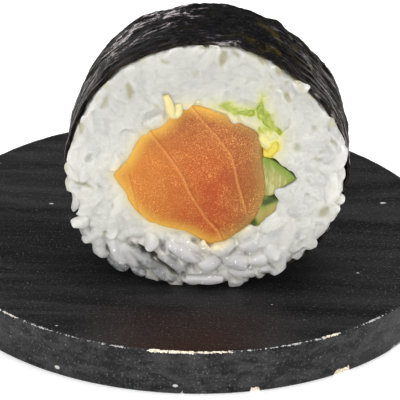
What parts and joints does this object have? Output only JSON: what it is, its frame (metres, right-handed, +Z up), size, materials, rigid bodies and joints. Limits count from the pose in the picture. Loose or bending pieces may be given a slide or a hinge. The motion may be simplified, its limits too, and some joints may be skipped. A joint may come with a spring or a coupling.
{
  "type": "maki sushi roll on a round board",
  "caption": "Thick maki roll lying on a round black wooden board, its cut face showing rice round salmon, cucumber and avocado, wrapped in nori",
  "frame": {"origin": "centre of the board's underside, on the surface that the board stands on", "axes": "+Z up; the roll's axis lies along Y and its front cut face looks towards -Y; +X is to the right of someone looking at that face"},
  "size_m": [0.1, 0.1, 0.0588],
  "materials": {
    "board_lacquer": "black lacquer over wood, satin, worn through at the rims",
    "nori": "dry pressed seaweed, creased, with a faint sheen",
    "rice": "cooked short-grain rice, moist and translucent",
    "salmon": "raw salmon, moist, with pale seams",
    "cucumber": "cut cucumber, moist, with dark green skin",
    "avocado": "ripe avocado, soft and creamy"
  },
  "bodies": {
    "root": {"board": "board_lacquer", "nori": "nori", "rice": "rice", "salmon": "salmon", "cucumber_wedge": "cucumber", "cucumber_sliver": "cucumber", "avocado": "avocado"}
  },
  "joints": []
}
